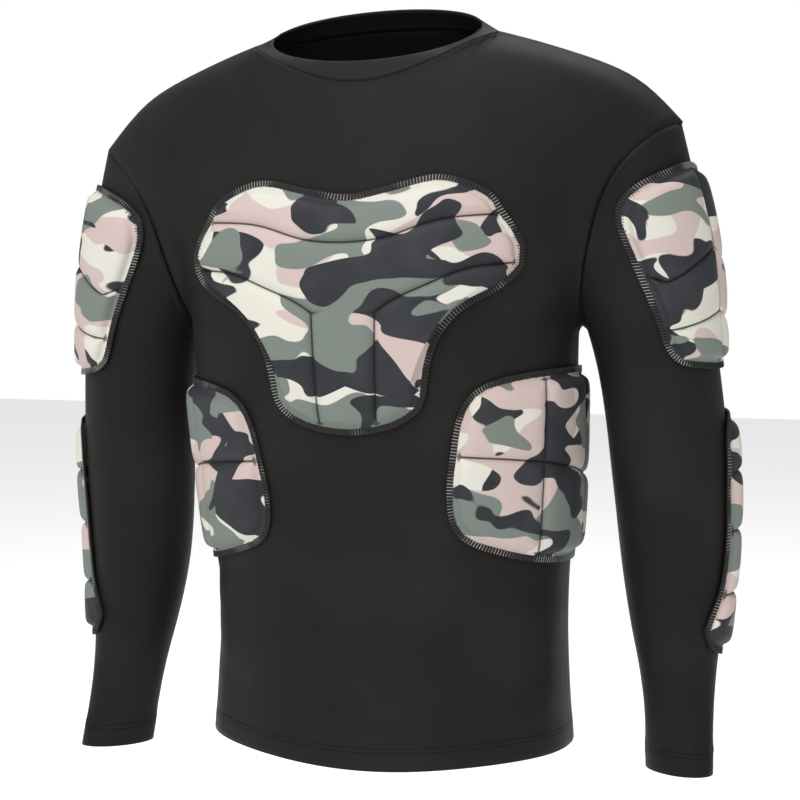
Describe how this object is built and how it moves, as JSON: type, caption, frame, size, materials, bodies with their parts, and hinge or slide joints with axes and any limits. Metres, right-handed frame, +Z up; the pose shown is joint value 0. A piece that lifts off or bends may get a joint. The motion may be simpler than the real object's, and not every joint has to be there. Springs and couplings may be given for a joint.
{
  "type": "padded compression shirt, worn, with no wearer",
  "caption": "Long-sleeved knit compression shirt in the form of its wearer, with sewn foam pads on chest, ribs, upper arms and elbows.",
  "frame": {"origin": "between the high points of the shoulders, at the base of the neck", "axes": "+Z up, the front faces -Y, +X to the wearer's left"},
  "size_m": [0.6434, 0.2447, 0.6927],
  "materials": {
    "black_knit": "smooth stretch jersey with a soft sheen",
    "printed_foam": "moulded foam under knit printed with camouflage"
  },
  "bodies": {
    "root": {"front_body": "black_knit", "back_body": "black_knit", "sleeve_left": "black_knit", "sleeve_right": "black_knit", "neckband": "black_knit", "pad_chest": "printed_foam", "pad_rib_left": "printed_foam", "pad_rib_right": "printed_foam", "pad_arm_left": "printed_foam", "pad_arm_right": "printed_foam", "pad_elbow_left": "printed_foam", "pad_elbow_right": "printed_foam"}
  },
  "joints": []
}
